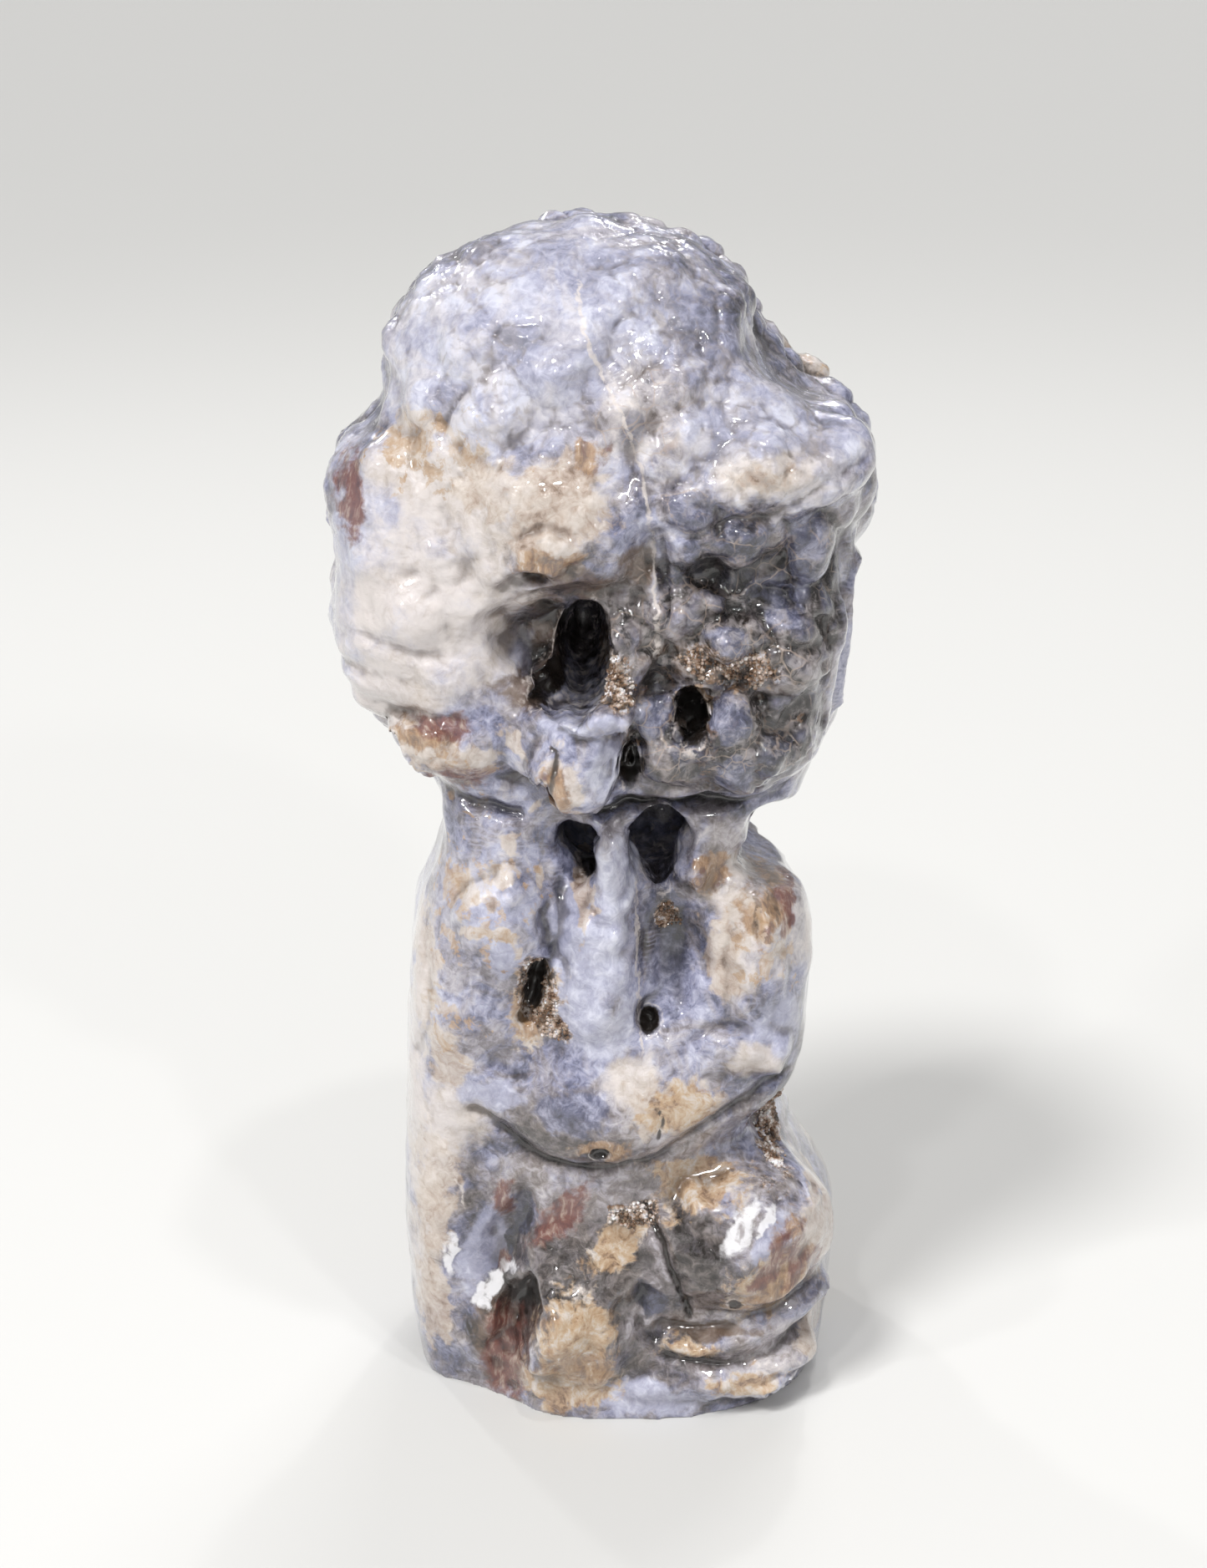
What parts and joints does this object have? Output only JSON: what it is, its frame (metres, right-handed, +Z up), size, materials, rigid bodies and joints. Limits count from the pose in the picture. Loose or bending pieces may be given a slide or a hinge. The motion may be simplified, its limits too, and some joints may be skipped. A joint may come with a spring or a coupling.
{
  "type": "blue agate buddha statue",
  "caption": "Seated meditating figure carved from one block of blue agate, with a natural lumpy back, holes and crystal pockets, on a flat base.",
  "frame": {"origin": "centre of the bounding box's footprint, on the flat base", "axes": "+Z up; -Y is the natural back that the picture shows; the carved front looks along +Y, turned 20 degrees towards +X"},
  "size_m": [0.1114, 0.0946, 0.2468],
  "materials": {
    "blue_agate": "polished"
  },
  "bodies": {
    "root": {"agate_statue": "blue_agate"}
  },
  "joints": []
}
